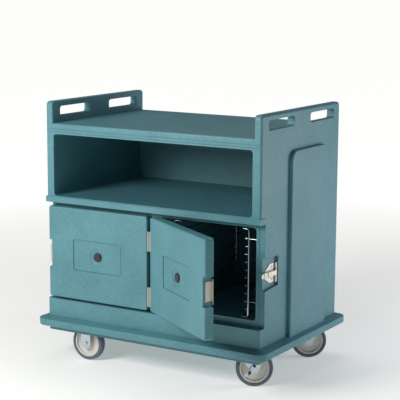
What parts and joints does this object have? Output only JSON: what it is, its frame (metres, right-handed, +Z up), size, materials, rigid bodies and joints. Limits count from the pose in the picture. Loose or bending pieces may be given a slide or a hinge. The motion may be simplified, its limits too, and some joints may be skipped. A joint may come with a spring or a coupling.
{
  "type": "beverage service cart",
  "caption": "Insulated service cart with an open shelf, two hinged compartments with wire tray racks, latches, and rigid and swivel casters.",
  "frame": {"origin": "on the floor, under the middle of the body", "axes": "+X to the right of someone who faces the doors, the doors face -Y, +Z up"},
  "size_m": [1.122, 1.0041, 1.12],
  "materials": {
    "body_plastic": "moulded, fine grain",
    "foam": "rigid foam",
    "black_plastic": "satin",
    "stainless": "brushed",
    "wire": "drawn and electropolished",
    "fastener": "turned",
    "zinc": "bright zinc plated",
    "black_steel": "black oxide",
    "tread": "matte",
    "wheel_core": "satin",
    "insert": "knurled"
  },
  "bodies": {
    "cart": {"body_shell": "body_plastic", "body_foam": "foam", "base_bumper": "body_plastic", "left_hinge_frame_leaves": "stainless", "left_hinge_pins": "fastener", "left_latch_base": "stainless", "left_outer_rack": "wire", "left_inner_rack": "wire", "right_hinge_frame_leaves": "stainless", "right_hinge_pins": "fastener", "right_latch_base": "stainless", "right_outer_rack": "wire", "right_inner_rack": "wire", "hinge_frame_screws": "fastener", "latch_pins": "fastener", "latch_screws": "fastener", "caster_bolts": "fastener", "caster_inserts": "insert", "front_rigid_fork": "zinc", "front_rigid_axle": "fastener", "front_swivel_plate": "zinc", "rear_rigid_fork": "zinc", "rear_rigid_axle": "fastener", "rear_swivel_plate": "zinc"},
    "left_door": {"left_door_shell": "body_plastic", "left_door_foam": "foam", "left_vent_cap": "black_plastic", "left_strike": "stainless", "left_door_screws": "fastener", "left_hinge_door_leaves": "stainless"},
    "left_latch": {"left_latch_lever": "stainless"},
    "right_door": {"right_door_shell": "body_plastic", "right_door_foam": "foam", "right_vent_cap": "black_plastic", "right_strike": "stainless", "right_door_screws": "fastener", "right_hinge_door_leaves": "stainless"},
    "right_latch": {"right_latch_lever": "stainless"},
    "front_swivel": {"front_swivel_fork": "zinc", "front_swivel_axle": "fastener", "front_swivel_race": "zinc", "brake_pivot": "black_steel"},
    "front_rigid_wheel": {"front_rigid_tyre": "tread", "front_rigid_core": "wheel_core", "front_rigid_bearing": "fastener"},
    "front_swivel_wheel": {"front_swivel_tyre": "tread", "front_swivel_core": "wheel_core", "front_swivel_bearing": "fastener"},
    "rear_swivel": {"rear_swivel_fork": "zinc", "rear_swivel_axle": "fastener", "rear_swivel_race": "zinc"},
    "rear_rigid_wheel": {"rear_rigid_tyre": "tread", "rear_rigid_core": "wheel_core", "rear_rigid_bearing": "fastener"},
    "rear_swivel_wheel": {"rear_swivel_tyre": "tread", "rear_swivel_core": "wheel_core", "rear_swivel_bearing": "fastener"},
    "brake": {"brake_lever": "zinc", "brake_knob": "black_plastic"}
  },
  "joints": [
    {"name": "left_door_hinge", "type": "hinge", "parent": "cart", "child": "left_door", "pos_m": [-0.005, -0.3433, 0.475], "axis": [0, 0, 1], "range_deg": [0, 90]},
    {"name": "right_door_hinge", "type": "hinge", "parent": "cart", "child": "right_door", "pos_m": [0.005, -0.3433, 0.475], "axis": [0, 0, -1], "range_deg": [-32.5, 57.5]},
    {"name": "left_latch_hinge", "type": "hinge", "parent": "cart", "child": "left_latch", "pos_m": [-0.515, -0.206, 0.48], "axis": [0, 0, -1], "range_deg": [0, 100]},
    {"name": "right_latch_hinge", "type": "hinge", "parent": "cart", "child": "right_latch", "pos_m": [0.515, -0.206, 0.48], "axis": [0, 0, 1], "range_deg": [0, 100]},
    {"name": "front_rigid_wheel_axle", "type": "hinge", "parent": "cart", "child": "front_rigid_wheel", "pos_m": [-0.355, -0.279, 0.0762], "axis": [0, 1, 0], "continuous": true},
    {"name": "front_swivel_kingpin", "type": "hinge", "parent": "cart", "child": "front_swivel", "pos_m": [0.41, -0.246, 0.165], "axis": [0, 0, 1], "continuous": true},
    {"name": "front_swivel_wheel_axle", "type": "hinge", "parent": "front_swivel", "child": "front_swivel_wheel", "pos_m": [0.43657, -0.23003, 0.0762], "axis": [-0.515, 0.8572, 0], "continuous": true},
    {"name": "rear_rigid_wheel_axle", "type": "hinge", "parent": "cart", "child": "rear_rigid_wheel", "pos_m": [-0.355, 0.279, 0.0762], "axis": [0, 1, 0], "continuous": true},
    {"name": "rear_swivel_kingpin", "type": "hinge", "parent": "cart", "child": "rear_swivel", "pos_m": [0.41, 0.246, 0.165], "axis": [0, 0, 1], "continuous": true},
    {"name": "rear_swivel_wheel_axle", "type": "hinge", "parent": "rear_swivel", "child": "rear_swivel_wheel", "pos_m": [0.43657, 0.26197, 0.0762], "axis": [-0.515, 0.8572, 0], "continuous": true},
    {"name": "brake_pivot_hinge", "type": "hinge", "parent": "front_swivel", "child": "brake", "pos_m": [0.43572, -0.23055, 0.0932], "axis": [-0.515, 0.8572, 0], "range_deg": [-12, 0]}
  ]
}
